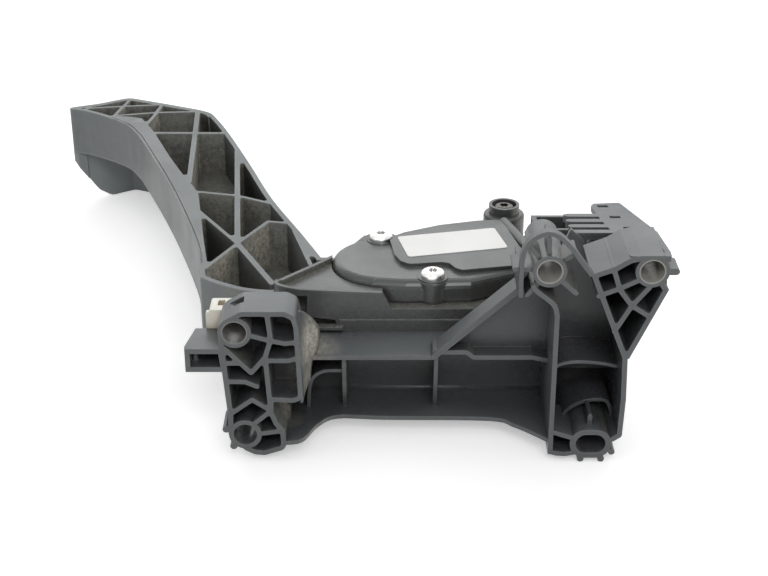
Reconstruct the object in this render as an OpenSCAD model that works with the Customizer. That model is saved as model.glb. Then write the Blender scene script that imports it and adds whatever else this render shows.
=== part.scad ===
// Hanging accelerator pedal module of a car, lying on its side.
// X runs along the mounting plane, Y runs from that plane towards the driver,
// Z runs along the pivot axis. The origin is the lower left mounting bore.

/* [Mounting bracket] */
// Radius of the round mounting bores
bore_r = 4.1; // [3:0.1:4.6]
// Wall around each mounting bore
boss_wall = 1.7; // [1.2:0.1:2]
// Thickness of moulded outer walls
wall = 1.8; // [1.4:0.1:2.2]
// Thickness of moulded ribs
rib = 1.7; // [1.2:0.1:2]
// Depth of the left mounting block
block_d = 15.5; // [12:0.5:18]
// Depth of the channel between the mounting blocks
channel_d = 38; // [36:0.5:40]
// Height of the tray above the resting face
tray_z = 33; // [31:0.5:34]
// Height of the channel floor above the resting face
floor_z = 7; // [5.5:0.5:9]
// Depth of the lattice that carries the upper right bore
lattice_d = 24; // [18:1:28]
// Thickness of the connector guard plate
guard_t = 2; // [1.5:0.1:3]
// Downward slope of the guard plate in degrees
guard_slope = 9.7; // [6:0.1:11]
// Distance of the tub's rear wall from the mounting plane
tub_back = 100; // [98:0.5:106]

/* [Pivot and springs] */
// Distance of the pivot axis from the mounting plane
pivot_y = 60; // [59:0.25:61]
// Radius of the pivot pin
pin_r = 4; // [3:0.1:4.5]
// Running clearance of the pin in its bushes
pin_gap = 0.05; // [0.03:0.01:0.08]
// Wall of the pivot bushes
bush_t = 2; // [1.5:0.1:2.5]
// Radius of the drum that the friction shoe rubs on
drum_r = 13; // [12:0.25:13.5]
// Radius of the outer return spring to the middle of its wire
outer_spring_r = 8; // [7:0.25:8.5]
// Wire thickness of the outer return spring
outer_wire = 2; // [1.4:0.1:2.4]
// Radius of the inner return spring to the middle of its wire
inner_spring_r = 4.9; // [4.4:0.1:5.2]
// Wire thickness of the inner return spring
inner_wire = 1.5; // [1:0.1:1.8]

/* [Sensor housing and cover] */
// Height of the housing lid above the resting face
ledge_z = 42; // [41:0.25:43]
// Height of the sensor cover above the lid
cover_h = 8.8; // [8:0.1:10]
// Thickness of the cover's shell
cover_t = 1.8; // [1.4:0.1:2.2]
// Height of the raised panel on the cover
panel_h = 1.4; // [0.8:0.1:2]
// Length of the label
label_l = 39; // [30:0.5:40]
// Width of the label
label_w = 18.7; // [12:0.1:19]
// Radius of the cover screws' heads
head_r = 4.5; // [3.5:0.1:4.8]
// Height of the cover screws' heads
head_h = 2.4; // [1.8:0.1:3]
// Radius of the cover screws' shanks
shank_r = 1.9; // [1.5:0.1:2.2]

/* [Pedal arm] */
// Height of the arm's top face above the resting face
arm_top = 46.5; // [45.5:0.1:46.7]
// Thickness of the arm
arm_t = 22.5; // [18:0.5:24]
// Thickness of the arm's outer walls
arm_wall = 2.2; // [1.6:0.1:3]
// Thickness of the arm's main ribs
arm_rib_main = 2.3; // [1.6:0.1:3]
// Thickness of the arm's lesser ribs
arm_rib = 1.6; // [1.2:0.1:2.4]
// Thickness of the arm's closed lower skin
arm_skin = 2; // [1.2:0.1:3]
// Thickness of the tread plate
tread_t = 3; // [2:0.1:4]
// Height of the anti-slip ribs on the tread plate
tread_rib_h = 0.8; // [0.4:0.1:1.2]

/* [Kick-down unit] */
// Radius of the kick-down plunger
plunger_r = 3.2; // [2.4:0.1:3.6]
// Stroke of the kick-down plunger
plunger_stroke = 3; // [2:0.5:3.5]

/* [Hidden] */
$fn = 48;
eps = 0.02;
fit = 0.02;
seam = 0.3;

// Mounting bores in the front view, as X and Z above the resting face
bore_a = [-51.3, 50.5];
bore_b = [-49.1, 9.8];
bore_c = [55.7, 73.7];
bore_d = [90.2, 73.7];
slot_c = [73.4, 5.9];
slot_r = 3.7;
slot_half = 1.6;
boss_r = bore_r + boss_wall;
pivot = [0, pivot_y];
tray_t = 1.6;
web_y = channel_d;
web_back = web_y + wall;

// What lies behind the channel is drawn for this depth and moves with it
drawn_d = 38;
rear = channel_d - drawn_d;
drawn_back = drawn_d + wall;
lid_under = ledge_z - 4;
chamber_top = lid_under - 1.5;
hub_z = 12.1;
bush_r = pin_r + pin_gap + bush_t;
flange_t = 0.5;
flange_r = bush_r + 2.2;
spring_x = 27;
spring_z = 24;
cup_y = pivot_y + 6;
seat_t = 2;
cover_top = ledge_z + cover_h;
arm_bottom = arm_top - arm_t;
arm_clear_r = 20.6;
beak_z = arm_top + 0.7;
buffer_l = 11.9;
tail_front = drawn_back + buffer_l + seam;
kick_c = [-54.5, 44];
kick_plate_t = 2;
kick_back = 25;
kick_bore_end = block_d + 1.5;

plastic = [0.2, 0.21, 0.22];
plastic_dark = [0.15, 0.16, 0.17];
steel = [0.75, 0.76, 0.78];
white = [0.92, 0.91, 0.88];

// Moves the working frame's origin to the lower left mounting bore
module placed() translate([-bore_b[0], 0, -bore_b[1]]) children();

// The same for what lies behind the channel
module placed_rear() placed() translate([0, rear, 0]) children();

// Extrudes a front view outline from y0 back to y1
module front(y0, y1) translate([0, y1, 0]) rotate([90, 0, 0]) linear_extrude(y1 - y0) children();

// Extrudes a plan outline from z0 up to z1
module plan(z0, z1) translate([0, 0, z0]) linear_extrude(z1 - z0) children();

// Cylinder along Y around a front view point
module along_y(c, r, y0, y1) translate([c[0], y1, c[1]]) rotate([90, 0, 0]) cylinder(r = r, h = y1 - y0);

// Cylinder along Z around a plan point
module along_z(c, r, z0, z1) translate([c[0], c[1], z0]) cylinder(r = r, h = z1 - z0);

// Straight bar between two points of an outline plane
module bar(a, b, w)
    translate(a) rotate(atan2(b[1] - a[1], b[0] - a[0])) translate([0, -w / 2]) square([norm(b - a), w]);

// Chain of bars with round joints, a little slimmer than the bars so that no edges coincide
module chain(points, w) {
    for (i = [0:len(points) - 2]) bar(points[i], points[i + 1], w);
    for (p = points) translate(p) circle(d = w - 0.16, $fn = 20);
}

// Smooth strip of width w along a curve
function side_point(p, i, s) = let (a = p[max(i - 1, 0)], b = p[min(i + 1, len(p) - 1)], d = (b - a) / norm(b - a))
    p[i] + s * [-d[1], d[0]];
module strip(p, w) polygon(concat([for (i = [0:len(p) - 1]) side_point(p, i, w / 2)],
    [for (i = [len(p) - 1:-1:0]) side_point(p, i, -w / 2)]));

// Fills the inner corners of an outline with a small radius
module filleted(r) offset(r = -r, $fn = 20) offset(r = r, $fn = 20) children();

// Rounds the outer corners of an outline
module rounded(r) offset(r = r, $fn = 24) offset(delta = -r) children();

// Wall of width w just inside an outline
module rim_of(w) difference() {
    children();
    offset(delta = -w) children();
}

// Smooth curve through a list of points, n steps to each span
function blend_point(a, b, c, d, t) = 0.5 * (2 * b + (c - a) * t
    + (2 * a - 5 * b + 4 * c - d) * t * t + (3 * b - a - 3 * c + d) * t * t * t);
function curve(p, n) = [for (i = [0:len(p) - 2]) for (k = [0:n - 1])
    blend_point(p[max(i - 1, 0)], p[i], p[i + 1], p[min(i + 2, len(p) - 1)], k / n), p[len(p) - 1]];

// Left mounting block in front view
module block_outline() rounded(3) polygon([[-57.1, 50.5], [-54.8, 55.2], [-49, 58.6], [-33.6, 58.6],
    [-30.2, 56.6], [-29.2, 52.5], [-28.2, 24], [-31.9, 22.8], [-38.7, 23.2], [-38.9, 19.2],
    [-37.2, 14.6], [-35, 11.7], [-34.6, 3.8], [-42.5, 1.2], [-46, 1.5], [-49.5, 3.3],
    [-55.1, 9.4], [-54.9, 18], [-56.2, 35]]);

module block_ribs() {
    chain([[-39.9, 57.6], [-38.9, 47.8], [-41.1, 40.8], [-46.1, 34.8]], rib);
    chain([[-55.2, 44.6], [-46.1, 34.8]], rib);
    chain([[-46, 49.4], [-39.1, 47.4], [-34, 46.3], [-29.4, 46.9]], rib);
    chain([[-41, 39.6], [-33, 39.6], [-29, 41]], rib);
    chain([[-55.8, 38.6], [-49.6, 38.6]], rib);
    chain([[-55, 31.3], [-48.4, 31.2], [-44.2, 29.3]], rib);
    chain([[-41, 40.5], [-39.8, 19.5]], rib);
    chain([[-54, 18.2], [-46.2, 24], [-39.8, 19.6]], rib);
    chain([[-46.5, 13.6], [-39.8, 19.4]], rib);
    chain([[-45, 9.9], [-35.6, 11.3]], rib);
}

module block() {
    front(0, block_d) filleted(0.6) {
        rim_of(wall) block_outline();
        block_ribs();
    }
    front(block_d - wall, block_d) block_outline();
    for (c = [bore_a, bore_b]) along_y(c, boss_r, 0, block_d);
    for (c = [[-55.8, 11.9], [-53.4, 5]]) along_y(c, 1.3, 0, block_d - 4);
}

// Hollow stub at the left end of the block
module stub() difference() {
    plan(35.2, 44.2) polygon([[-68.8, 0], [-69, 2], [-66.6, block_d], [-55.8, block_d], [-55.8, 0]]);
    front(-eps, block_d - wall) polygon([[-67.1, 42.3], [-57.2, 42.3], [-56.6, 37.1], [-67, 37.1]]);
}

// Front edge of the channel floor in plan, swept forward at both ends
channel_lip = curve([[-35, 0], [-29, 2], [-24, 12], [-17, 18], [0, 17.2], [38, 16.4],
    [47, 12], [55, 5], [60, 0]], 5);

// Wall that carries the block's lower right outline back to the channel's rear
channel_side = [[-27.3, 32.6], [-27.3, 23.4], [-31.9, 22.2], [-38.2, 22.4], [-38.6, 19.2], [-37.2, 14.6], [-35, 11.7],
    [-34.8, 6]];

module channel() {
    plan(floor_z - tray_t, floor_z) polygon(concat(channel_lip, [[60, web_back], [-35, web_back], [-35, block_d]]));
    plan(tray_z - tray_t, tray_z) polygon([[-28.2, block_d - eps], [18, block_d - eps], [18, web_back], [-28.2, web_back]]);
    front(web_y, web_back) polygon(concat(channel_side, [[60, floor_z - 1], [60, tray_z - eps], [-28.1, tray_z - eps]]));
    front(block_d - 0.5, web_back) chain(channel_side, wall);
    front(block_d - 0.5, 26) polygon([[-28.1, tray_z - 0.5], [-25.5, tray_z - 0.5], [-28.1, tray_z + 4]]);
    for (x = [-15.2, 18]) gusset(x);
    front(24, web_y + eps) strip(curve([[-14.4, 22.1], [-18, 22.2], [-22.3, 21.8], [-26, 19.1], [-27.4, 14],
        [-27.8, floor_z - 0.5]], 4), 1.3);
}

// Upright gusset across the channel, its front edge leaning back
module gusset(x) translate([x, 0, 0]) rotate([90, 0, 90]) linear_extrude(1.5)
    polygon([[block_d + 1.5, tray_z - eps], [25, floor_z - eps], [web_y + eps, floor_z - eps], [web_y + eps, tray_z - eps]]);

module square_between(a, b) translate(a) square(b - a);

// Triangular recess under the diagonal wall
recess_back = 24;
recess_outline = [[17.4, tray_z - tray_t], [17.4, tray_z], [46.8, 59.6], [46.8, 67], [50.4, 67.6], [56.8, 62.6],
    [59.2, 59], [59.2, tray_z - tray_t]];

module recess() {
    front(recess_back - wall, recess_back) polygon(recess_outline);
    front(block_d - 0.5, recess_back) chain([[18, tray_z], [47, 59.4]], 2.2);
    front(block_d, recess_back) chain([[18, 34.4], [29.5, 34.4], [32.1, 32.3], [53, 32.3], [59, 31]], rib);
    front(recess_back - eps, web_y + eps) chain([[18, 32.2], [59, 32.2]], tray_t);
}

// Long upright wall that curls over to the domed bore
module inner_wall() front(0, web_back) strip(concat([[59.2, 1.6], [59, 55]],
    curve([[59, 57], [58, 60.6], [55.6, 63.2], [51.4, 66.6], [50.2, 68.6]], 4)), rib);

// Right bay with its shelf, arched rib and slotted foot
module bay() {
    front(30, 30 + wall) polygon([[59, 20], [59.4, 60], [66, 76], [70.5, 72], [82.6, 41], [83.6, 20]]);
    front(0, web_back) chain([[83.2, 41.5], [83.8, 24], [83.4, 9.4], [80.8, 7.6]], wall);
    front(web_y, web_back) square_between([59, floor_z - tray_t], [84, 32]);
    front(12, 32) strip(curve([[59.2, 29.4], [63.1, 31.6], [68.5, 32.5], [76.7, 32], [83.8, 30.4]], 4), 1.3);
    front(14, 32) strip(curve([[64.5, 4.6], [64.8, 8.8], [67.3, 12.4], [73.2, 15.4], [79.8, 15.4], [82, 11.6],
        [82.5, 7.3]], 4), 1.3);
    front(4, 20) chain([[73.2, 15], [73.2, 11.4]], rib);
    front(0, 20) chain([[60, 10.6], [67.7, 8]], rib);
    front(0, web_back) strip([[58.6, 2.6], [61.5, 1.8], [64.5, 1.6], [67.5, 2.2], [70, 3.6]], rib);
    plan(floor_z - tray_t - 2, floor_z - tray_t + eps) square_between([59, 18], [84, web_back]);
    front(0, 20) slot_outline(slot_r + 2.1);
    for (c = [[70.1, -0.3], [77.4, -0.3], [81, 2.6]]) along_y(c, 1.2, 0, 16);
}

module slot_outline(r) {
    for (s = [-1, 1]) translate(slot_c + [s * slot_half, 0]) circle(r = r);
    translate(slot_c - [slot_half, r]) square([2 * slot_half, 2 * r]);
}

// Domed arch around the middle upper bore, with ribs between arch and boss
dome_arch = curve([[46.3, 64], [46.2, 72], [46.6, 80], [49, 84.8], [54, 87.6], [58.3, 86.4], [62.6, 82.2],
    [66.2, 77.2], [70, 72.2]], 4);
dome_d = 3.5;
dome_rib_d = 12;

module dome() {
    front(0, dome_d) strip(dome_arch, 1.5);
    front(dome_d - 1, recess_back) strip([[46.6, 63.6], [46.5, 68], [46.5, 72.6]], 1.3);
    front(block_d, recess_back) strip([[47, 58.8], [46.7, 62], [46.6, 64.4]], 1.3);
    for (t = [93, 128, 178, 232]) front(1, dome_rib_d) chain([bore_c, bore_c + 11.8 * [cos(t), sin(t)]], 1.6);
    front(0, 31) chain([bore_c + [4, -3.4], [65, 65.6]], rib);
    front(2, dome_rib_d) chain([bore_c, [64.2, 79.4]], 1.6);
    along_y(bore_c, boss_r, 0, 31);
}

// Triangular lattice that carries the right upper bore
lattice_outline = concat([[69.6, 72.6], [77.4, 75.6], [82.2, 78.6]],
    [for (d = [[-4.2, 5.9], [3.6, 5.9], [6.2, 0.3], [4.2, -4.1], [6, -6.7]]) bore_d + d], [[84.6, 40.4], [82.4, 40.4]]);

module lattice() {
    front(0, lattice_d) filleted(0.6) {
        rim_of(wall) polygon(lattice_outline);
        chain([[77.1, 74.8], [79.6, 67], [84.1, 60.9], [90.4, 56.8]], rib);
        chain([[72.6, 64.6], [79.3, 67.3], bore_d - [4.2, 3.1]], rib);
        chain([bore_d - [0.5, 5.7], [84.1, 60.9], [78.8, 51]], rib);
    }
    front(lattice_d - wall, lattice_d) polygon(lattice_outline);
    along_y(bore_d, boss_r, 0, lattice_d);
    front(0, 9) chain([bore_d + [5.3, 0], bore_d + [8, 0]], 2.4);
}

// Guard plate over the connector, sloping down towards the driver
guard_z = bore_d[1] + 5.7;
guard_edge = bore_d[0] + 6.8;
guard_outline = [[82.4, 0.4], [guard_edge - 0.8, 0.4], [guard_edge - 0.2, 6], [guard_edge, 33], [guard_edge - 6.8, 78],
    [80, 76.4], [78.6, 72.5], [79.4, 50], [81.4, 30]];
notch_c = [[83, 72], [85.2, 55], [87.8, 38.6]];
finger_rows = [for (k = [0:3]) 31.7 + 8 * k];

module guard() {
    translate([0, 0, guard_z]) rotate([-guard_slope, 0, 0]) difference() {
        union() {
            plan(-guard_t, 0) rounded(1) polygon(guard_outline);
            for (y = finger_rows) translate([66.4, y, -3.4]) finger(18);
            plan(-14, -guard_t + eps)
                strip([[guard_edge - 2.2, 4], [guard_edge - 1.6, 33], [guard_edge - 7.6, 76.2]], wall);
            plan(-7, -guard_t + eps) bar([guard_edge - 7.4, 75.6], [81.6, 74.8], wall);
        }
        for (c = notch_c) translate([c[0] - 2, c[1] - 1.6, -guard_t - 1]) cube([4, 3.2, guard_t + 2]);
        for (d = [-5.6, 1]) translate([bore_d[0] + d, 6, -guard_t - 1]) cube([3.6, 9, guard_t + 2]);
    }
    translate([75.4, 41, guard_z - 14]) rotate([0, 72, 0]) {
        cylinder(r = 2.4, h = 10);
        translate([0, 0, -1.6]) cylinder(r1 = 1.2, r2 = 2.4, h = 1.6 + eps);
    }
    translate([79, 40, guard_z - 13]) cube([5, 2, 5.4]);
}

// One finger of the comb at the guard's left edge, with a round tip
module finger(l) {
    translate([2.3, 0, 0.9]) cube([l - 2.3, 4.6, 2.5]);
    translate([2.3, 2.3, 0.9]) cylinder(r = 2.3, h = 2.5);
    translate([1.6, 1, 0]) cube([1.6, 2.6, 1.2]);
}

// Tub behind the channel that holds the arm's hub and the springs
tub_outline = [[-28.2, drawn_d], [60, drawn_d], [60, tub_back], [-7, tub_back], [-17, 84], [-28.2, 62]];

module tub() {
    plan(floor_z - tray_t, floor_z) polygon(tub_outline);
    front(tub_back - wall, tub_back) square_between([-7, floor_z - tray_t], [60, lid_under]);
    translate([60 - wall, drawn_d, floor_z - tray_t]) cube([wall, tub_back - drawn_d, lid_under - floor_z + tray_t]);
    plan(floor_z - eps, lid_under) chain([[-6.4, tub_back - 0.9], [-16.4, 84]], wall);
    for (x = [8, 36]) translate([x, tub_back - eps, floor_z + 2]) cube([1.6, 3, 26]);
    along_z(pivot, bush_r + 2.6, floor_z - tray_t, hub_z - flange_t - 0.1);
    for (c = housing_screws) along_z(c, 4, floor_z - eps, lid_under);
    shoe_wall();
}

// Upright wall behind the friction shoe
shoe_half = 7;
shoe_back = pivot_y + drum_r + 8;
module shoe_wall() {
    translate([-shoe_half - 2, shoe_back, floor_z - eps]) cube([2 * shoe_half + 4, 2, chamber_top - 1 - floor_z]);
    for (x = [-shoe_half - 2, shoe_half + 0.4])
        translate([x, shoe_back - 4, floor_z - eps]) cube([1.6, 5, chamber_top - 1 - floor_z]);
}

module mounting_bracket() placed() color(plastic) difference() {
    union() {
        block();
        stub();
        channel();
        recess();
        inner_wall();
        bay();
        dome();
        lattice();
        guard();
        translate([0, rear, 0]) tub();
    }
    for (c = [bore_a, bore_b]) along_y(c, bore_r, -1, block_d + 1);
    along_y(bore_c, bore_r, -1, 40);
    along_y(bore_d, bore_r, -1, lattice_d + 1);
    front(-1, 30) slot_outline(slot_r);
    translate([-53.4, 7.5, bore_a[1] + bore_r + 1.2]) cube([5, 4.4, 6]);
    translate([0, rear, 0]) {
        along_z(pivot, bush_r + fit, floor_z - tray_t - 1, hub_z);
        for (c = housing_screws) along_z(c, shank_r + fit, lid_under - 18, lid_under + 1);
    }
}

// Cover outline in plan: round end over the pivot, straight back, two screw ears
screw_left = [-1.2, pivot_y + 17];
screw_front = [18, 43.7];
screw_rear = [48.4, 103.4];
housing_screws = [[53, 42.6], [-3.6, 93.4]];
cover_body = [[-5, 40.4], [8, 38.8], [32, 39.8], [51, 48.6], [56, 62], [48.6, 96], [38, 95.4], [22, 91.4], [6, 83.6],
    [-9, 77]];

cover_end_r = 19.6;
cover_soft = 3;
cover_seat = ledge_z + 1;
ear_r = [7.6, 6, 8.2];
ear_soft = 1.2;
module cover_outline() filleted(3) {
    translate(pivot) circle(r = cover_end_r, $fn = 96);
    polygon(cover_body);
    translate(screw_left) circle(r = ear_r[0]);
    translate(screw_front) circle(r = ear_r[1]);
    translate(screw_rear) circle(r = ear_r[2]);
}

// Beak of the housing over the arm's root
beak_front = 35;
beak_outline = concat(curve([[-0.5, beak_front], [-30, beak_front], [-37.2, 35.6], [-40.2, 38.2], [-39.2, 41.6],
    [-31.6, 50], [-25.6, 56.6], [-20, 63]], 4), [[-12, 70], [-0.5, 70]]);

// Height of the beak's front rim, which falls towards the cover
beak_rim = [[-45, beak_z], [-45, beak_z + 4.2], [-36.7, beak_z + 3.6], [-30.5, beak_z + 2.6], [-19.6, beak_z + 2],
    [-0.3, beak_z + 1.2], [-0.3, beak_z]];

module lid_outline() {
    translate(pivot) circle(r = 20, $fn = 96);
    polygon([[-14, 36], [57.6, 36], [57.6, drawn_back + seam], [60, drawn_back + seam], [60, tub_back],
        [-8, tub_back], [-14, 88], [-12, 70]]);
    translate(screw_rear) circle(r = 8.2);
}

// Connector socket beside the cover, open towards the guard's far end
socket_y = [72, 86];
socket_x = [57.6, 87];
socket_wall = 1.6;
pin_w = 0.8;
pin_start = 70;
pin_rows = [for (k = [-1:1]) (socket_y[0] + socket_y[1]) / 2 + 2.8 * k];
pin_levels = [ledge_z + 5, ledge_z + 9];
module socket() {
    inner = socket_y[1] - socket_y[0] - 2 * socket_wall;
    difference() {
        union() {
            translate([socket_x[0], socket_y[0], ledge_z - eps])
                cube([socket_x[1] - socket_x[0], socket_y[1] - socket_y[0], 15]);
            translate([60 - eps, socket_y[0], lid_under]) cube([14, socket_y[1] - socket_y[0], 4.1]);
        }
        translate([socket_x[0] + 2, socket_y[0] + socket_wall, ledge_z + 4]) cube([pin_start - socket_x[0] - 1, inner, 13]);
        translate([pin_start + 3, socket_y[0] + socket_wall, ledge_z + socket_wall]) cube([20, inner, 11.6]);
    }
}

module module_housing() placed_rear() color(plastic_dark) difference() {
    union() {
        plan(lid_under, ledge_z) lid_outline();
        front(beak_front, beak_front + wall)
            polygon([[-28, 38.6], [-18, 37.4], [-16.4, tray_z], [56, tray_z], [56, ledge_z], [2.6, ledge_z],
                [-0.5, beak_z + 0.9], [-28, beak_z + 0.9]]);
        front(beak_front - 0.5, beak_front + eps) square_between([-16.4, tray_z], [56, 37.6]);
        front(beak_front - 2, beak_front + 1.4) square_between([-26, tray_z + 1], [-15, tray_z + 2.2]);
        plan(beak_z, beak_z + 1) difference() {
            polygon(beak_outline);
            offset(delta = seam) cover_outline();
        }
        intersection() {
            plan(beak_z + 0.5, beak_z + 5) difference() {
                rim_of(1.6) polygon(beak_outline);
                offset(delta = seam) cover_outline();
                square_between([-2.4, 37], [10, 80]);
            }
            union() {
                front(beak_front - 1, beak_front + 6) polygon(beak_rim);
                plan(beak_z, beak_z + 3.2) square_between([-45, beak_front + 5.9], [3, 80]);
            }
        }
        plan(ledge_z - eps, beak_z + eps) intersection() {
            difference() {
                translate(pivot) circle(r = 20, $fn = 96);
                offset(delta = seam) cover_outline();
            }
            square_between([-30, 38], [-4, 74]);
        }
        plan(tray_z, ledge_z) square_between([50, 36], [57.6, drawn_d - 0.1]);
        for (c = [screw_left, screw_front]) along_z(c, 5, lid_under - (c == screw_left ? 1 : 4), ledge_z);
        along_z(screw_rear, 6, lid_under, ledge_z);
        plan(28, lid_under + eps) intersection() {
            translate(screw_rear) circle(r = 6);
            square_between([40, tub_back + seam], [60, tub_back + 12]);
        }
        along_z(pivot, bush_r + 2.6, chamber_top + flange_t + 0.1, lid_under + eps);
        for (c = board_posts) along_z(c, 2, ledge_z - eps, board_z);
        socket();
    }
    along_z(pivot, bush_r + fit, chamber_top, ledge_z + 1);
    for (c = [screw_left, screw_front, screw_rear]) along_z(c, shank_r + fit, ledge_z - 9, ledge_z + 1);
    for (c = housing_screws) along_z(c, shank_r + 0.4, lid_under - 1, ledge_z + 1);
    for (y = pin_rows, z = pin_levels) translate([pin_start + 0.4, y - pin_w / 2 - fit, z - fit])
        cube([3, pin_w + 2 * fit, pin_w + 2 * fit]);
}

// Round part of the cover with a soft upper edge
module drum(c, r, soft) translate(c) rotate_extrude($fn = 96) polygon(concat([[0, cover_seat], [r, cover_seat]],
    [for (t = [0:15:90]) [r - soft * (1 - cos(t)), cover_top - soft * (1 - sin(t))]], [[0, cover_top]]));

// Soft upper edge of the cover: rounded drums at the pivot and the screws and a rounded body between them
module cover_dome() {
    drum(pivot, cover_end_r, cover_soft);
    drum(screw_left, ear_r[0], ear_soft);
    drum(screw_front, ear_r[1], ear_soft);
    drum(screw_rear, ear_r[2], ear_soft);
    hull() for (t = [0:22.5:90]) plan(cover_seat, cover_top - cover_soft * (1 - sin(t)))
        offset(delta = -cover_soft * (1 - cos(t))) polygon(cover_body);
}

module sensor_cover() placed_rear() color(plastic) difference() {
    union() {
        plan(ledge_z, cover_seat + eps) offset(delta = -0.8) cover_outline();
        plan(cover_seat, cover_top - cover_soft) cover_outline();
        cover_dome();
        plan(cover_top - eps, cover_top + panel_h) rounded(2) polygon([[2, 75.5], [4, 60], [6.2, 54.4], [9.4, 51.8],
            [21.6, 53.4], [24.4, 52.4], [26.4, 48.4], [29, 46.6], [49.4, 50.6], [53, 62], [46.4, 93], [37, 91.8],
            [22, 87.6], [8, 80.6]]);
        for (c = [screw_left, screw_front]) along_z(c, 5.6, ledge_z, cover_top + 0.3);
        along_z(screw_rear, 6.1, ledge_z, cover_top + 3.6);
        translate([54.2, 70, cover_top]) rotate([0, 0, 16]) rotate([-90, 0, 0]) cylinder(r = 2.2, h = 24);
    }
    difference() {
        plan(ledge_z - 1, cover_top - cover_t) offset(delta = -cover_t) cover_outline();
        for (c = [screw_left, screw_front, screw_rear]) along_z(c, 4.6, ledge_z - 2, cover_top);
    }
    for (c = [screw_left, screw_front, screw_rear]) along_z(c, shank_r + 0.4, ledge_z - 1, cover_top + 2);
    for (c = [screw_left, screw_front]) along_z(c, head_r + seam, cover_top + 0.3, cover_top + 5);
    along_z(screw_rear, head_r + 0.4, cover_top + 0.8, cover_top + 5);
}

label_c = [26.2, 70.9];
module cover_label() placed_rear() color("white")
    translate([label_c[0], label_c[1], cover_top + panel_h]) rotate([0, 0, 12.5]) linear_extrude(0.25)
        rounded(1.2) square([label_l, label_w], center = true);

module cover_seal() placed_rear() color([0.1, 0.1, 0.11]) plan(ledge_z, ledge_z + 1) difference() {
    rim_of(1.4) offset(delta = -cover_t - 0.3) cover_outline();
    for (c = [screw_left, screw_front, screw_rear]) translate(c) circle(r = 4.9);
}

board_z = ledge_z + 3.8;
board_posts = [[10, 52], [42, 54], [40, 84]];
module sensor_board() placed_rear() color([0.1, 0.35, 0.2]) {
    difference() {
        plan(board_z, board_z + 1.2) rounded(2)
            polygon([[-10, 52], [8, 50], [44, 51], [48, 60], [43, 88], [26, 84], [6, 76], [-10, 68]]);
        along_z(screw_front, 6, board_z - 1, board_z + 2);
        along_z(screw_left, 6, board_z - 1, board_z + 2);
    }
}

module contact_pins() placed_rear() color([0.8, 0.68, 0.35])
    for (y = pin_rows, z = pin_levels) translate([pin_start, y - pin_w / 2, z]) cube([12, pin_w, pin_w]);

// Pan head screw standing on z0 with a six lobed recess
module pan_screw(c, z0, l, r, h) translate([c[0], c[1], z0]) difference() {
    union() {
        rotate_extrude() polygon(concat([[0, 0], [r, 0], [r, h * 0.35]],
            [for (t = [0:15:90]) [0.55 * r + 0.45 * r * cos(t), h * 0.35 + h * 0.65 * sin(t)]], [[0, h]]));
        translate([0, 0, -l]) cylinder(r = shank_r, h = l + eps);
    }
    translate([0, 0, h * 0.45]) {
        cylinder(r = 1.5, h = h);
        for (t = [0:60:300]) rotate([0, 0, t]) translate([1.45, 0, 0]) cylinder(r = 0.5, h = h, $fn = 16);
    }
}

module cover_screw_left() placed_rear() color(steel) pan_screw(screw_left, cover_top + 0.3, 13, head_r, head_h);
module cover_screw_front() placed_rear() color(steel) pan_screw(screw_front, cover_top + 0.3, 13, head_r, head_h);
module cover_screw_rear() placed_rear() color(steel) pan_screw(screw_rear, cover_top + 0.8, 16, head_r - 0.3, head_h);
module housing_screw_front() placed_rear() color(steel) pan_screw(housing_screws[0], ledge_z, 14, 3.4, 2);
module housing_screw_rear() placed_rear() color(steel) pan_screw(housing_screws[1], ledge_z, 14, 3.4, 2);

// Flanged bush around the pivot pin, flange at the end that faces the arm
module bush(z0, z1, flange_z) difference() {
    union() {
        along_z(pivot, bush_r, z0, z1);
        along_z(pivot, flange_r, flange_z, flange_z + flange_t);
    }
    along_z(pivot, pin_r + pin_gap, z0 - 1, z1 + 1);
}

module pivot_bush_lower() placed_rear() color(white) bush(floor_z - tray_t, hub_z - 0.1, hub_z - flange_t - 0.1);
module pivot_bush_upper() placed_rear() color(white) bush(chamber_top + 0.1, ledge_z, chamber_top + 0.1);

module friction_shoe() placed_rear() color([0.5, 0.42, 0.3]) plan(hub_z + 2, chamber_top - 2) difference() {
    translate([-shoe_half, pivot_y + drum_r - 2]) square([2 * shoe_half, 10]);
    translate(pivot) circle(r = drum_r + 0.06, $fn = 96);
}

module idle_stop_buffer() placed_rear() color([0.1, 0.1, 0.1]) {
    translate([24, drawn_back, 18]) cube([12, buffer_l - 4, 12]);
    translate([26, drawn_back, 20]) cube([8, buffer_l, 8]);
}

// Coil spring along Y as one closed tube, its wire swept round the helix
module coil(r, wire, turns, length, sides = 8, steps = 18) {
    n = turns * steps;
    pitch = (length - wire) / turns;
    rings = [for (i = [0:n]) let (t = 360 * i / steps) [for (k = [0:sides - 1]) let (s = 360 * k / sides)
        [(r + wire / 2 * cos(s)) * cos(t), wire / 2 + pitch * i / steps + wire / 2 * sin(s),
            (r + wire / 2 * cos(s)) * sin(t)]]];
    walls = [for (i = [0:n - 1], k = [0:sides - 1]) let (m = (k + 1) % sides)
        [i * sides + k, (i + 1) * sides + k, (i + 1) * sides + m, i * sides + m]];
    ends = [[for (k = [0:sides - 1]) k], [for (k = [sides - 1:-1:0]) n * sides + k]];
    polyhedron([for (g = rings) each g], concat(walls, ends));
}

cup_t = 2;
spring_start = cup_y + cup_t;
spring_end = tub_back - wall - seat_t;
module return_spring_outer() placed_rear() color(steel) translate([spring_x, spring_start, spring_z])
    coil(outer_spring_r, outer_wire, 6, spring_end - spring_start);
module return_spring_inner() placed_rear() color(steel) translate([spring_x, spring_start, spring_z])
    coil(inner_spring_r, inner_wire, 7, spring_end - spring_start, 6, 16);

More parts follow.
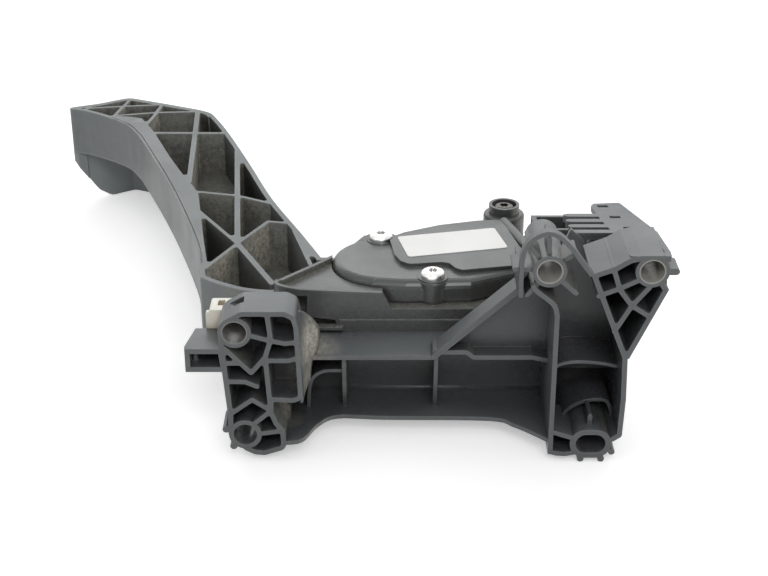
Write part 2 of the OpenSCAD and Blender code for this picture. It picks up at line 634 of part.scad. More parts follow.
module spring_seat() placed_rear() color(white) {
    along_y([spring_x, spring_z], outer_spring_r + outer_wire / 2 + 1, spring_end, tub_back - wall);
    along_y([spring_x, spring_z], inner_spring_r - inner_wire / 2 - 0.3, spring_end - 4, spring_end + eps);
}

module spring_cup() placed_rear() color(white) {
    along_y([spring_x, spring_z], outer_spring_r + outer_wire / 2 + 1, cup_y, spring_start);
    along_y([spring_x, spring_z], inner_spring_r - inner_wire / 2 - 0.3, spring_start - eps, spring_start + 4);
}

// Kick-down unit behind the block, its plunger facing the arm
module kickdown_body() placed() color(white) difference() {
    union() {
        front(block_d, kick_back) rounded(1) square_between([-61.6, 37.6], [-48, 51.4]);
        front(block_d, block_d + kick_plate_t) rounded(0.6) square_between([-62.8, 42], [-46, 50.5]);
        along_y(kick_c, plunger_r + 1.6, kick_back - eps, kick_back + 1);
    }
    along_y(kick_c, plunger_r + pin_gap, kick_bore_end, kick_back + 3);
    for (x = [-57.6, -51.2]) translate([x - 1.2, (block_d + kick_back) / 2 - 1, 49.6]) cube([2.4, 4, 3]);
}

kick_spring_l = plunger_stroke + 1;
module kickdown_spring() placed() color(steel) translate([kick_c[0], kick_bore_end, kick_c[1]])
    coil(2.2, 0.8, 3, kick_spring_l, 6, 14);

plunger_tip = kick_back + plunger_stroke + 0.6;
module kickdown_plunger() placed() color([0.85, 0.84, 0.8]) {
    along_y(kick_c, plunger_r, kick_bore_end + kick_spring_l, plunger_tip - 0.8);
    along_y(kick_c, plunger_r - 0.8, plunger_tip - 1, plunger_tip);
}

// Pedal arm outline in plan: foot side, then the front wall back to the hub
arm_back = curve([[-152.9, 240.2], [-152.4, 241.6], [-150, 243], [-140, 247.4], [-131.4, 253], [-126.2, 255.4], [-119.6, 253], [-97, 242], [-85.6, 235.4],
    [-80.8, 227.6], [-71.6, 203.6], [-59.2, 166], [-47, 127.4], [-33.5, 93.4], [-24.3, 69.5]], 4);
arm_front = curve([[-41, 39], [-47.4, 39.9], [-54, 42], [-61, 46], [-67, 50.4], [-69.3, 53.6], [-70.8, 64],
    [-74.9, 85.8], [-91.4, 140.4], [-110.8, 194.4], [-116.6, 208], [-122, 217.6], [-131.4, 226.8], [-144, 236],
    [-151.8, 239.2]], 4);
arm_root = [[-24.3, 69.5], [-10, pivot_y + 9], [-10, pivot_y - 9], [-32.5, 49], [-36.5, 41.6]];
arm_spine = [-57.6, 82.6];

module arm_outline() polygon(concat(arm_back, arm_root, arm_front));

// Triangulated ribs between the foot side and the front wall
module arm_ribs() {
    chain([[-90.4, 238], [-84, 146]], arm_rib_main);
    chain([[-66.9, 188], arm_spine], arm_rib_main);
    chain([[-113, 206.6], [-74, 206.2]], arm_rib_main);
    chain([[-86, 137], [-61.8, 131], [-46, 122]], arm_rib);
    chain([[-80, 121], arm_spine, [-67.9, 60.1]], arm_rib);
    chain([arm_spine, [-47, 104], [-37, 102]], arm_rib);
    chain([arm_spine, [-41.6, 47]], arm_rib_main);
    chain([[-36, 95], [-27.2, 60]], arm_rib);
    chain([[-110, 233.4], [-113.4, 212]], arm_rib);
    chain([[-130, 230], [-110, 234.6], [-88, 236]], arm_rib);
    chain([[-127.4, 244], [-130, 228]], arm_rib);
    chain([[-145, 240.6], [-127, 243.6], [-108, 246]], arm_rib);
    chain([[-125.6, 254], [-127.4, 243]], arm_rib);
    chain([[-108.6, 246], [-110.2, 234.6]], arm_rib);
}

// Solid band behind the front wall where the arm bends
arm_band = concat(curve([[-116, 226], [-111.6, 217], [-106, 203.5], [-95.9, 175.5], [-86.4, 151.7], [-81.7, 141.5],
    [-78.6, 132.6], [-76.1, 117.6], [-71.9, 90.5], [-67.7, 65.4]], 3), [[-73, 64], [-77, 86], [-93, 140], [-112, 194],
    [-118, 208], [-124, 218]]);

// Shallow groove in the top face along the front edge
arm_groove = [for (i = [24:48]) side_point(arm_front, i, -1.2)];

tread_zone = [[-160, arm_top + 8], [-160, 24], [-152, 18.6], [-142.6, 3], [-137, -1.3], [-108, -1.3], [-98, 6],
    [-84, 24], [-76, 30], [-76, arm_top + 8]];

module tread_plate() {
    intersection() {
        plan(-1.3, arm_top) rim_of(tread_t) arm_outline();
        front(226, 262) rounded(4) polygon(tread_zone);
        plan(-2, arm_top) polygon([[-160, 240], [-152, 238], [-127, 250], [-84, 228], [-80, 240], [-126, 270]]);
    }
    intersection() {
        for (z = [4:6:40]) plan(z, z + 2.2) difference() {
            offset(delta = tread_rib_h) arm_outline();
            offset(delta = -0.5) arm_outline();
        }
        front(232, 262) offset(delta = -2.4) rounded(4) polygon(tread_zone);
        plan(-2, arm_top) polygon([[-160, 241], [-127, 252], [-84, 233], [-80, 240], [-126, 270]]);
    }
}

module pedal_arm() placed_rear() color(plastic) difference() {
    union() {
        difference() {
            plan(arm_bottom, arm_top) arm_outline();
            plan(arm_bottom + arm_skin, arm_top + 1) difference() {
                offset(delta = -arm_wall / 2) arm_outline();
                filleted(1) {
                    rim_of(arm_wall) arm_outline();
                    arm_ribs();
                    polygon(arm_band);
                }
            }
            along_z(pivot, arm_clear_r, chamber_top, arm_top + 1);
        }
        along_z(pivot, drum_r, hub_z, chamber_top);
        plan(hub_z, chamber_top) polygon([[4, tail_front], [38, tail_front], [38, cup_y], [4, cup_y]]);
        plan(arm_bottom, chamber_top) polygon([[-8, 52], [-27, 54], [-24, 68], [-8, 68]]);
        tread_plate();
    }
    along_z(pivot, pin_r + fit, hub_z - 1, chamber_top + 1);
    plan(arm_top - 0.4, arm_top + 1) strip(arm_groove, 0.5);
    for (x = [8, 31]) translate([x, tail_front + 2, hub_z + 3]) cube([5, cup_y - tail_front - 4, 30]);
}

module pivot_pin() placed_rear() color(steel) along_z(pivot, pin_r, floor_z - tray_t + 0.4, ledge_z + 3);

module sensor_rotor() placed_rear() color([0.3, 0.3, 0.33]) difference() {
    along_z(pivot, 8.5, ledge_z + 0.6, ledge_z + 2.8);
    along_z(pivot, pin_r + fit, ledge_z, ledge_z + 4);
    for (s = [-1, 1]) translate([s * 6 - 1.5, pivot_y - 1.5, ledge_z]) cube([3, 3, 4]);
}

mounting_bracket();
module_housing();
sensor_cover();
cover_label();
cover_seal();
sensor_board();
contact_pins();
cover_screw_left();
cover_screw_front();
cover_screw_rear();
housing_screw_front();
housing_screw_rear();
pivot_bush_lower();
pivot_bush_upper();
friction_shoe();
idle_stop_buffer();
spring_seat();
return_spring_outer();
return_spring_inner();
kickdown_body();
kickdown_spring();
kickdown_plunger();
pedal_arm();
pivot_pin();
sensor_rotor();
spring_cup();
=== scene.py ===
"""Looks of a hanging accelerator pedal module: used black glass-filled mouldings, an acetal
kick-down unit, zinc screws, spring steel and a bare white label on a pale studio floor.
Lengths are in metres in the frame's axes, apart from those of new meshes, which are in millimetres."""

import math

import bmesh
import bpy
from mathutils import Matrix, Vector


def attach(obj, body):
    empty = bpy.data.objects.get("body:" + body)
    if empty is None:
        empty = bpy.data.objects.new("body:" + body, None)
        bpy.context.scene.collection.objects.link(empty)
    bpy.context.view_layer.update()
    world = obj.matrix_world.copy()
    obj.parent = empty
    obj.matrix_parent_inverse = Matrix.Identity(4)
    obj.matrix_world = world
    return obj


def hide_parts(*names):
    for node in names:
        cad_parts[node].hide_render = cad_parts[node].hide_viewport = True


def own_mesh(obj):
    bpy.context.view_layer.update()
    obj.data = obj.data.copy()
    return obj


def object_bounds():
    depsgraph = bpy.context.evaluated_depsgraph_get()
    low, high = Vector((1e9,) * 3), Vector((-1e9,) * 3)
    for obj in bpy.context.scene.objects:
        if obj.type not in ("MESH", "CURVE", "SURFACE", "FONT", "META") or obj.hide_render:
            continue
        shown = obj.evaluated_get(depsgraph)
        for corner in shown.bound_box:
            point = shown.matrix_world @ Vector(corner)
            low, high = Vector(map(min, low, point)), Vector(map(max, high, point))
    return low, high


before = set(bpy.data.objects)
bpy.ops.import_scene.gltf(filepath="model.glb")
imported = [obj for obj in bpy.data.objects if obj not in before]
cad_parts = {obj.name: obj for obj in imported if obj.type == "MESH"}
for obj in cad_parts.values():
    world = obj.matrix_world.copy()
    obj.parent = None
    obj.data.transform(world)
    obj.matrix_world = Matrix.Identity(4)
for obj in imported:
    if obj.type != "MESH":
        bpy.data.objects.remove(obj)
cad_low, cad_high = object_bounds()

# The photograph's camera: its place, its tilt in degrees and its focal length in pixels
CAMERA_AT = (0.0491, -0.45336, 0.28199)
CAMERA_DOWN = 26.3
FOCAL_PX = 1500
PHOTO_W = 768
SENSOR_MM = 36

MM = 0.001
FLOOR_Z = cad_low.z - 0.0002
FLOOR_HALF = 6.0

# Colours put on the plastic: dust, dust painted paler on sides that face right as painted light,
# painted shade for corners, painted light inside the bores
DUST = (0.33, 0.32, 0.275, 1.0)
LIT_DUST = (0.56, 0.53, 0.44, 1.0)
CORNER_SHADE = (0.030, 0.026, 0.020, 1.0)
BORE_LIGHT = (0.34, 0.33, 0.30, 1.0)
BORE_LIGHT_R = 0.0043

# Bores whose insides are painted pale as painted light: centre in X and Z, depth and how strong it is
LIT_BORES = [((-0.0022, 0.0407), 0.0155, 0.35), ((0.1048, 0.0639), 0.031, 0.9),
                ((0.1393, 0.0639), 0.025, 0.9)]

# Ejector pins' rings on the tray, and the radius of a ring
EJECTOR_AT = [(0.0359, 0.0322, 0.0232), (0.0900, 0.0280, 0.0232)]
EJECTOR_R = 0.003

# Dust caked beside the left block: centre, radius and how thick it lies
CAKED_DUST = [((0.0225, 0.0220, 0.0240), 0.013, 0.95), ((0.0235, 0.0120, 0.0300), 0.013, 1.0),
              ((0.0230, 0.0120, 0.0180), 0.010, 0.9), ((0.0350, 0.0290, 0.0080), 0.009, 0.6),
              ((0.0145, 0.0150, 0.0040), 0.010, 0.8)]


class Graph:
    """Short calls that add shader nodes to one node tree and link them."""

    def __init__(self, tree):
        self.tree = tree

    def add(self, kind, inputs=None, **settings):
        """One node; inputs maps a socket name or number to a value or to another socket."""
        node = self.tree.nodes.new(kind)
        for key, value in settings.items():
            setattr(node, key, value)
        for key, value in (inputs or {}).items():
            self.set(node.inputs[key], value)
        return node

    def set(self, socket, value):
        """Links a socket to another one, or gives it a plain value."""
        if isinstance(value, bpy.types.NodeSocket):
            self.tree.links.new(value, socket)
        else:
            socket.default_value = value

    def math(self, operation, a, b=0.5):
        return self.add("ShaderNodeMath", {0: a, 1: b}, operation=operation).outputs[0]

    def times(self, a, b):
        return self.math("MULTIPLY", a, b)

    def most(self, a, b):
        return self.math("MAXIMUM", a, b)

    def ramp(self, value, low, high, to_low=0.0, to_high=1.0):
        """Maps low..high onto to_low..to_high, held at the ends."""
        return self.add("ShaderNodeMapRange", {"Value": value, "From Min": low, "From Max": high,
                                               "To Min": to_low, "To Max": to_high}).outputs[0]

    def axes(self, vector):
        """X, Y and Z of a vector as three values."""
        return self.add("ShaderNodeSeparateXYZ", {0: vector}).outputs

    def seen_ray(self):
        """1 for rays from the camera and for those that gloss or glass sends on, else 0."""
        path = self.add("ShaderNodeLightPath").outputs
        seen = self.most(path["Is Camera Ray"], path["Is Glossy Ray"])
        return self.most(seen, path["Is Transmission Ray"])


class Finish(Graph):
    """The nodes of one new material."""

    def __init__(self, name):
        self.material = bpy.data.materials.new(name)
        self.material.use_nodes = True
        super().__init__(self.material.node_tree)
        self.shader = self.tree.nodes["Principled BSDF"]
        self.place = self.add("ShaderNodeTexCoord").outputs["Object"]

    def noise(self, scale, detail=3, roughness=0.5, stretch=None):
        """Noise of the given scale per metre over the object's own coordinates, about 0 to 1."""
        place = self.place
        if stretch:
            place = self.add("ShaderNodeMapping", {"Vector": place, "Scale": stretch}).outputs[0]
        return self.add("ShaderNodeTexNoise", {"Vector": place, "Scale": scale, "Detail": detail,
                                               "Roughness": roughness}).outputs["Fac"]

    def mix(self, share, a, b):
        """Colour a, with the given share of colour b."""
        node = self.add("ShaderNodeMix", data_type="RGBA")
        self.set(node.inputs[0], share)
        self.set(node.inputs[6], a)
        self.set(node.inputs[7], b)
        return node.outputs[2]

    def occlusion(self, distance, inside=False):
        """1 in the open and 0 in a corner; inside=True gives 1 on flats and less along outer edges."""
        return self.add("ShaderNodeAmbientOcclusion", {"Distance": distance}, samples=8,
                        inside=inside).outputs["AO"]

    def facing(self):
        """The surface's X, Y and Z direction as three values."""
        return self.axes(self.add("ShaderNodeNewGeometry").outputs["Normal"])

    def distance(self, place, centre):
        return self.add("ShaderNodeVectorMath", {0: place, 1: centre},
                        operation="DISTANCE").outputs["Value"]

    def bump(self, *layers, edge=0.0):
        """Bump from (height socket, depth in metres) layers over edges rounded by edge metres."""
        normal = None
        if edge:
            normal = self.add("ShaderNodeBevel", {"Radius": edge}, samples=4).outputs[0]
        for height, depth in layers:
            node = self.add("ShaderNodeBump", {"Height": height, "Distance": depth, "Strength": 1.0})
            if normal is not None:
                self.set(node.inputs["Normal"], normal)
            normal = node.outputs[0]
        self.set(self.shader.inputs["Normal"], normal)

    def finish(self, **inputs):
        """Sets the shader's own inputs, such as Base_Color, and gives the material."""
        for key, value in inputs.items():
            self.set(self.shader.inputs[key.replace("_", " ")], value)
        return self.material


def grey(level, red=0.0, blue=0.0):
    """A grey with a little more or less red and blue."""
    return (level + red, level, level + blue, 1.0)


def scaled(colour, *factors):
    """The colour times one factor, or times one for each of red, green and blue."""
    factors = factors if len(factors) == 3 else factors * 3
    return tuple(min(1.0, c * f) for c, f in zip(colour[:3], factors)) + (1.0,)


def disc(n, centre, radius, depth, soft=0.0003):
    """1 within radius of an axis along Y through centre (X and Z) and down to depth, else 0."""
    flat = n.add("ShaderNodeVectorMath", {0: n.place, 1: (1.0, 0.0, 1.0)},
                 operation="MULTIPLY").outputs[0]
    away = n.distance(flat, (centre[0], 0.0, centre[1]))
    along = n.axes(n.place)["Y"]
    return n.times(n.ramp(away, radius, radius + soft, 1.0, 0.0),
                   n.ramp(along, depth, depth + soft, 1.0, 0.0))


def ejector_rings(n, centres, radius):
    """Shallow round rings that ejector pins leave, as a height from 0 to 1."""
    height = 0.0
    for centre in centres:
        off = n.math("ABSOLUTE", n.math("SUBTRACT", n.distance(n.place, centre), radius))
        height = n.most(height, n.ramp(off, 0.00015, 0.0004, 1.0, 0.0))
    return height


def edge_wear(n):
    """How much of the paler, worn plastic shows along outer edges, in uneven stretches."""
    worn = n.ramp(n.occlusion(0.0012, inside=True), 0.55, 0.95, 1.0, 0.0)
    return n.times(worn, n.ramp(n.noise(160, 3), 0.3, 0.6, 0.1, 0.45))


def dust_cover(n, dust, wide, speck, above, patches):
    """How much of the plastic the dust hides, in grains. dust is the most there is on sides that face
    right, up and to the mounting face. It lies where it is half sheltered, and in the patches."""
    right, up, front = dust
    x, y, z = n.facing()
    side = n.most(n.ramp(x, 0.25, 0.8, 0.0, right), n.ramp(z, 0.4, 0.9, 0.0, up))
    side = n.most(side, n.ramp(y, -0.4, -0.9, 0.0, front))
    pocket = n.times(n.ramp(wide, 0.95, 0.72), n.ramp(wide, 0.03, 0.25, 0.35, 1.0))
    powder = n.times(n.times(side, pocket), above)
    for centre, radius, amount in patches:
        away = n.distance(n.place, centre)
        powder = n.most(powder, n.ramp(away, radius * 0.35, radius, amount, 0.0))
    clumps = n.ramp(n.noise(420, 4, 0.7), 0.34, 0.62, 0.4, 1.0)
    return n.times(powder, n.times(clumps, n.ramp(speck, 0.35, 0.62, 0.55, 1.0)))


def moulded(name, clean_shaded, weathered, dust, painted_top_light=1.47, reach=0.03, polish=0.0, bores=(), rings=(),
            patches=(), bare_lit_below=-1.0):
    """Black glass-filled nylon: near black where it is sheltered, as painted shade, and weathered grey
    in the open, with a fine grain, faint fibre flow and worn edges; dark corners are painted shade as
    well.
    painted_top_light is how much paler a side that faces up is painted, as painted light from above,
    reach how far the painted shade of shelter goes, and polish what it is smoother by. Below the
    height bare_lit_below, which is under the object unless given, it is weathered all over without
    painted shade, painted paler still as painted light, and holds no dust."""
    n = Finish(name)
    blotch = n.noise(38, 4, 0.6)
    speck = n.noise(900, 2, 0.6)
    fibres = n.noise(260, 3, 0.6, stretch=(1.0, 0.25, 1.0))
    wide = n.occlusion(reach)
    x, _, z = n.facing()
    above = n.ramp(n.axes(n.place)["Z"], bare_lit_below, bare_lit_below + 0.003)
    below = n.math("SUBTRACT", 1.0, above)
    powder = dust_cover(n, dust, wide, speck, above, patches)

    # 1 in the open and 0 in shelter; the near-black tone in shelter is painted shade
    weathered_unshaded = n.times(n.ramp(wide, 0.34, 0.84), n.ramp(blotch, 0.25, 0.7, 0.8, 1.0))
    weathered_unshaded = n.most(weathered_unshaded, below)
    tone = n.mix(weathered_unshaded, clean_shaded, weathered)
    # Painted light: the part below the bare height is painted paler
    tone = n.mix(n.times(below, 0.8), tone, scaled(weathered, 1.6))
    # Painted light from above: sides that face up in the open are painted paler
    tone = n.mix(n.times(weathered_unshaded, n.ramp(z, 0.4, 0.95, 0.0, 0.4)), tone,
                 scaled(weathered, painted_top_light * 0.94, painted_top_light, painted_top_light * 1.01))
    tone = n.mix(n.times(weathered_unshaded, n.ramp(fibres, 0.45, 0.75, 0.0, 0.3)), tone, scaled(weathered, 1.3))
    tone = n.mix(edge_wear(n), tone, scaled(weathered, 1.7))
    # Dust on sides that face right is painted paler, as painted light
    tone = n.mix(powder, tone, n.mix(n.ramp(x, 0.3, 0.8), DUST, LIT_DUST))
    # Painted shade: corners are darkened, in speckles
    corner = n.ramp(n.occlusion(0.005), 0.35, 0.8, 0.3, 0.0)
    tone = n.mix(n.times(corner, n.ramp(speck, 0.35, 0.62, 0.2, 0.9)), tone, CORNER_SHADE)
    # Painted light: the insides of these bores are painted pale, as if lit through
    for centre, depth, amount in bores:
        tone = n.mix(n.times(disc(n, centre, BORE_LIGHT_R, depth), amount), tone, BORE_LIGHT)

    rough = n.math("ADD", n.ramp(blotch, 0.3, 0.7, 0.22 - polish, 0.34 - polish), n.times(weathered_unshaded, 0.16))
    rough = n.math("ADD", rough, n.times(powder, 0.35))
    layers = [(n.noise(1400, 2), 0.00006), (blotch, 0.00025)]
    if rings:
        layers.append((ejector_rings(n, rings, EJECTOR_R), -0.00012))
    n.bump(*layers, edge=0.0004)
    return n.finish(Base_Color=tone, Roughness=rough)


def acetal(name, base):
    """Off-white acetal, waxy, with painted shade in its corners."""
    n = Finish(name)
    blotch = n.noise(120, 3)
    # Painted shade: corners are darkened
    corner = n.ramp(n.occlusion(0.004), 0.3, 0.9, 0.75, 0.0)
    tone = n.mix(n.ramp(blotch, 0.4, 0.7, 0.0, 0.4), base, (0.62, 0.58, 0.47, 1.0))
    tone = n.mix(corner, tone, (0.21, 0.18, 0.12, 1.0))
    n.bump((n.noise(700, 2), 0.00004), edge=0.0004)
    return n.finish(Base_Color=tone, Roughness=n.ramp(blotch, 0.3, 0.7, 0.32, 0.45),
                    Subsurface_Weight=0.08)


def metal(name, base, rough, stain):
    """Plated or drawn steel with fine scratches, dull stains and painted shade in corners."""
    n = Finish(name)
    scratch = n.noise(500, 4, 0.7, stretch=(1.0, 6.0, 1.0))
    patch = n.noise(180, 3)
    tone = n.mix(n.ramp(patch, 0.45, 0.7, 0.0, stain), base, (0.23, 0.21, 0.18, 1.0))
    # Painted shade: corners are darkened
    tone = n.mix(n.ramp(n.occlusion(0.003), 0.2, 0.8, 0.6, 0.0), tone, (0.06, 0.055, 0.05, 1.0))
    n.bump((scratch, 0.00003), edge=0.0002)
    return n.finish(Base_Color=tone, Metallic=1.0,
                    Roughness=n.ramp(scratch, 0.3, 0.7, rough, rough + 0.15))


def plain(name, base, rough, grain=600, depth=0.00004, metallic=0.0):
    """A small part's finish: one colour with mottling, grain and painted shade in corners."""
    n = Finish(name)
    mottle = n.noise(grain * 0.2, 3)
    tone = n.mix(n.ramp(mottle, 0.4, 0.7, 0.0, 0.35), base, scaled(base, 0.72))
    # Painted shade: corners are darkened
    tone = n.mix(n.ramp(n.occlusion(0.003), 0.2, 0.8, 0.5, 0.0), tone, CORNER_SHADE)
    n.bump((n.noise(grain, 3), depth), edge=0.0003)
    return n.finish(Base_Color=tone, Metallic=metallic,
                    Roughness=n.ramp(mottle, 0.3, 0.7, rough, rough + 0.12))


def label_paper():
    """Bare white satin film, a little yellowed and scuffed."""
    n = Finish("label_paper")
    cloud = n.noise(60, 4)
    yellowed = n.ramp(cloud, 0.45, 0.7, 0.0, 0.25)
    tone = n.mix(yellowed, (0.80, 0.80, 0.79, 1.0), (0.73, 0.72, 0.68, 1.0))
    n.bump((n.noise(1500, 2), 0.00001), (cloud, 0.00006))
    return n.finish(Base_Color=tone, Roughness=n.ramp(cloud, 0.3, 0.7, 0.35, 0.5))


body_plastic = moulded("bracket_plastic", grey(0.048, -0.002, 0.005), grey(0.083, -0.006, 0.002),
                       (0.3, 0.06, 0.03), painted_top_light=2.4, bores=LIT_BORES, rings=EJECTOR_AT,
                       patches=CAKED_DUST)
root_gloss = moulded("root_gloss", grey(0.050, -0.002, 0.005), grey(0.087, -0.007, 0.002),
                     (0.0, 0.0, 0.0), polish=0.15)
housing_plastic = moulded("housing_plastic", grey(0.050, -0.001, 0.002), grey(0.068, -0.005, 0.001),
                          (0.3, 0.5, 0.08), painted_top_light=1.1, polish=0.06)
cover_plastic = moulded("cover_plastic", grey(0.044), grey(0.057, -0.004, 0.0),
                        (0.2, 0.1, 0.03), painted_top_light=2.4, polish=0.08)
arm_plastic = moulded("arm_plastic", grey(0.047, -0.002, 0.001), grey(0.126, -0.011, 0.0),
                      (1.0, 0.55, 0.58), painted_top_light=1.24, reach=0.022, bare_lit_below=0.0125)
white_acetal = acetal("white_acetal", (0.76, 0.74, 0.66, 1.0))
zinc = metal("zinc_plate", (0.98, 0.98, 0.96, 1.0), 0.24, 0.06)
black_steel = metal("black_screw_steel", (0.11, 0.11, 0.11, 1.0), 0.35, 0.4)
spring_steel = metal("spring_steel", (0.42, 0.42, 0.43, 1.0), 0.3, 0.5)
pin_steel = metal("pin_steel", (0.55, 0.55, 0.56, 1.0), 0.2, 0.25)
rubber = plain("black_rubber", grey(0.022), 0.7, 900, 0.00008)
circuit = plain("circuit_board", (0.02, 0.11, 0.05, 1.0), 0.35)
contacts = plain("tinned_contacts", (0.62, 0.56, 0.40, 1.0), 0.28, metallic=1.0)
friction = plain("friction_lining", (0.16, 0.11, 0.07, 1.0), 0.75, 1200, 0.0001)

FINISHES = {
    "mounting_bracket": body_plastic,
    "module_housing": housing_plastic,
    "sensor_cover": cover_plastic,
    "cover_label": label_paper(),
    "cover_seal": rubber,
    "sensor_board": circuit,
    "contact_pins": contacts,
    "cover_screw_left": zinc,
    "cover_screw_front": zinc,
    "cover_screw_rear": black_steel,
    "housing_screw_front": zinc,
    "housing_screw_rear": zinc,
    "pivot_bush_lower": white_acetal,
    "pivot_bush_upper": white_acetal,
    "friction_shoe": friction,
    "idle_stop_buffer": rubber,
    "spring_seat": white_acetal,
    "return_spring_outer": spring_steel,
    "return_spring_inner": spring_steel,
    "kickdown_body": white_acetal,
    "kickdown_spring": spring_steel,
    "kickdown_plunger": white_acetal,
    "pedal_arm": arm_plastic,
    "pivot_pin": pin_steel,
    "sensor_rotor": rubber,
    "spring_cup": white_acetal,
}

for node_name, finish in FINISHES.items():
    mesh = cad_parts[node_name].data
    mesh.materials.clear()
    mesh.materials.append(finish)


def placed(name, data):
    """An object in the scene that shows the data."""
    made = bpy.data.objects.new(name, data)
    bpy.context.scene.collection.objects.link(made)
    return made


def piece(name, points, faces, body, finish):
    """A smooth shaded mesh piece, given in millimetres, that rides on a body."""
    mesh = bpy.data.meshes.new(name)
    mesh.from_pydata([[c * MM for c in p] for p in points], [], faces)
    shell = bmesh.new()
    shell.from_mesh(mesh)
    bmesh.ops.recalc_face_normals(shell, faces=shell.faces)
    shell.to_mesh(mesh)
    shell.free()
    for face in mesh.polygons:
        face.use_smooth = len(face.vertices) == 4
    mesh.materials.append(finish)
    made = placed(name, mesh)
    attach(made, body)


def loft(name, rings, body, finish):
    """A closed tube through rings of equally many points, its first and last ring capped."""
    count = len(rings[0])
    points = [p for ring in rings for p in ring]
    faces = [list(range(count))[::-1], [len(points) - count + i for i in range(count)]]
    for r in range(len(rings) - 1):
        for i in range(count):
            j = (i + 1) % count
            faces.append([r * count + i, r * count + j, (r + 1) * count + j, (r + 1) * count + i])
    piece(name, points, faces, body, finish)


def block_flank():
    """Flared side that joins the block's rim to the channel, closed where the solid has a slit. Its
    front edge is sunk in the block's side, and its rear edge follows the flare."""
    # Height, and the rear edge's X and Y there
    flare = [(12.7, 22.7, 18), (14.5, 22.9, 18), (17, 23.1, 18), (19.5, 23.5, 18), (21.5, 24.1, 18),
             (23.5, 25.1, 18), (25.5, 25.7, 18), (28, 26.2, 18), (31, 26.4, 18), (33.5, 26.1, 18),
             (35.5, 25.2, 17.8), (37.5, 23.9, 17.2), (39.5, 22.6, 16), (41.5, 21.4, 14.2),
             (43.2, 20.5, 12), (44.6, 19.6, 9.4), (45.4, 19.1, 7)]
    side_x, side_z, side_lean = 20.65, 14.2, 0.035
    shoulder_z, shoulder_lean = 42.7, 0.25
    front_y = 0.5
    least_flare = 0.2
    swell = 1.5
    front_t, more_t = 0.9, 0.5
    spans = 7
    steps = [k / spans for k in range(spans + 1)]
    rings = []
    for z, back_x, back_y in flare:
        front_x = side_x - (z - side_z) * side_lean - max(0.0, z - shoulder_z) * shoulder_lean
        flared = max(least_flare, back_x - front_x)
        outer = [(front_x + flared * t ** swell, front_y + (back_y - front_y) * t, z) for t in steps]
        inner = [(x - front_t - more_t * t, y, z) for (x, y, z), t in zip(outer, steps)]
        rings.append(outer + inner[::-1])
    loft("block_flank", rings, "base", body_plastic)


def arm_band_end():
    """Upper end of the arm's solid band, which runs out along the front wall."""
    outline = [(-80.8, 227.6), (-73.4, 220.3), (-72, 220.2), (-66, 221), (-65.2, 223),
               (-66.5, 225.9), (-68.6, 227.2), (-72, 228.4), (-77.5, 229.5), (-80.4, 229.2)]
    low_z, high_z = 16.0, 36.66
    rings = [[(x, y, z) for x, y in outline] for z in (low_z, high_z)]
    loft("arm_band_end", rings, "pedal", arm_plastic)


def channel_fillet():
    """Concave root fillet between the channel's floor and its rear wall."""
    radius, floor_z, rear_y = 0.9, -2.8, 38.0
    left_x, right_x = 22.5, 108.0
    sunk = 0.4
    turn = [math.radians(90 * k / 8) for k in range(9)]
    arc = [(rear_y - radius + radius * math.cos(a), floor_z + radius - radius * math.sin(a))
           for a in turn]
    profile = arc + [(rear_y - radius, floor_z - sunk), (rear_y + sunk, floor_z - sunk),
                     (rear_y + sunk, floor_z + radius)]
    rings = [[(x, y, z) for y, z in profile] for x in (left_x, right_x)]
    loft("channel_fillet", rings, "base", root_gloss)


def coil(node):
    """The node's spring as a copy of its mesh that rides on the base, in place of the hidden part."""
    made = placed(node + "_coil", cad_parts[node].data.copy())
    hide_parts(node)
    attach(made, "base")
    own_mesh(made)


def studio_floor():
    """A wide pale floor that renders near white and keeps the object's soft shadow."""
    mesh = bpy.data.meshes.new("studio_floor")
    corners = [(x * FLOOR_HALF, y * FLOOR_HALF, FLOOR_Z)
               for x, y in ((-1, -1), (1, -1), (1, 1), (-1, 1))]
    mesh.from_pydata(corners, [], [(0, 1, 2, 3)])
    n = Finish("studio_floor")
    mesh.materials.append(n.finish(Base_Color=(0.84, 0.84, 0.84, 1.0), Roughness=0.9,
                                   Emission_Color=(1.0, 1.0, 1.0, 1.0),
                                   Emission_Strength=n.times(n.seen_ray(), 0.41)))
    placed("studio_floor", mesh)


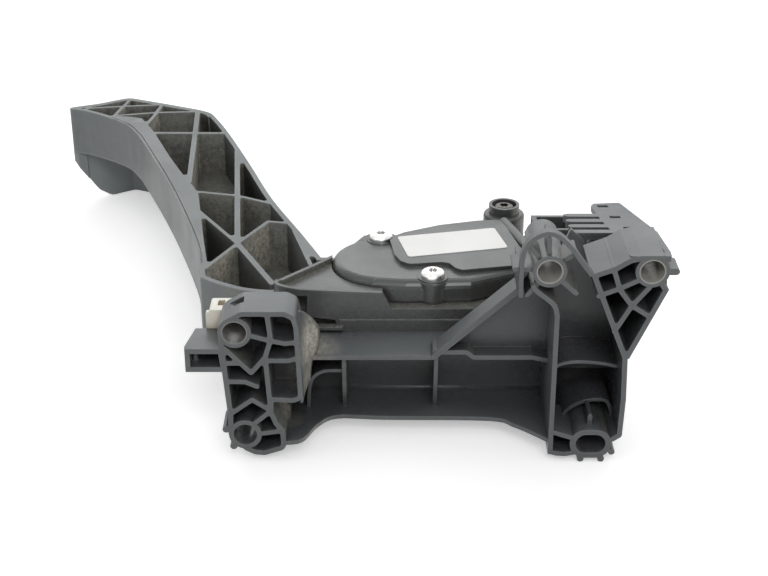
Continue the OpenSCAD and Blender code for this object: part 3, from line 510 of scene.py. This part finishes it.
def world_light(front, back):
    """White surroundings, stronger behind the object than in front of it, and white to the camera."""
    world = bpy.data.worlds.new("studio_world")
    bpy.context.scene.world = world
    world.use_nodes = True
    n = Graph(world.node_tree)
    n.tree.nodes.clear()
    way = n.axes(n.add("ShaderNodeTexCoord").outputs["Generated"])
    glow = n.ramp(way["Y"], -0.4, 0.8, front, back)
    level = n.ramp(n.seen_ray(), 0.0, 1.0, glow, 1.0)
    background = n.add("ShaderNodeBackground", {"Strength": level}).outputs[0]
    n.add("ShaderNodeOutputWorld", {"Surface": background})


def softbox(name, at, aim, width, height, power):
    """An area lamp of the given watts at a point, turned towards another."""
    lamp = bpy.data.lights.new(name, "AREA")
    lamp.shape = "RECTANGLE"
    lamp.size, lamp.size_y, lamp.energy = width, height, power
    box = placed(name, lamp)
    box.location = at
    away = [aim[i] - at[i] for i in range(3)]
    tilt = math.atan2(math.hypot(away[0], away[1]), -away[2])
    box.rotation_euler = (tilt, 0.0, math.atan2(-away[0], away[1]))


def camera():
    """The photograph's camera, which looks along Y and down."""
    data = bpy.data.cameras.new("camera")
    data.sensor_width = SENSOR_MM
    data.lens = SENSOR_MM * FOCAL_PX / PHOTO_W
    data.clip_start = 0.01
    cam = placed("camera", data)
    cam.location = CAMERA_AT
    cam.rotation_euler = (math.radians(90 - CAMERA_DOWN), 0.0, 0.0)
    bpy.context.scene.camera = cam


block_flank()
arm_band_end()
channel_fillet()
coil("return_spring_outer")
coil("return_spring_inner")
coil("kickdown_spring")

studio_floor()
world_light(0.68, 0.82)
softbox("key_overhead", (0.0, 0.35, 1.1), (0.05, 0.08, 0.0), 1.2, 0.9, 0.8)
softbox("front_fill", (0.2, -1.0, 0.95), (0.03, 0.08, 0.02), 0.6, 0.45, 6.0)
softbox("back_glow", (0.05, 1.15, 0.62), (0.05, 0.1, 0.03), 1.8, 0.5, 5.0)
softbox("fill_left", (-0.8, -0.5, 0.7), (0.0, 0.08, 0.0), 0.7, 0.7, 1.0)
camera()
bpy.context.scene.view_settings.view_transform = "Standard"
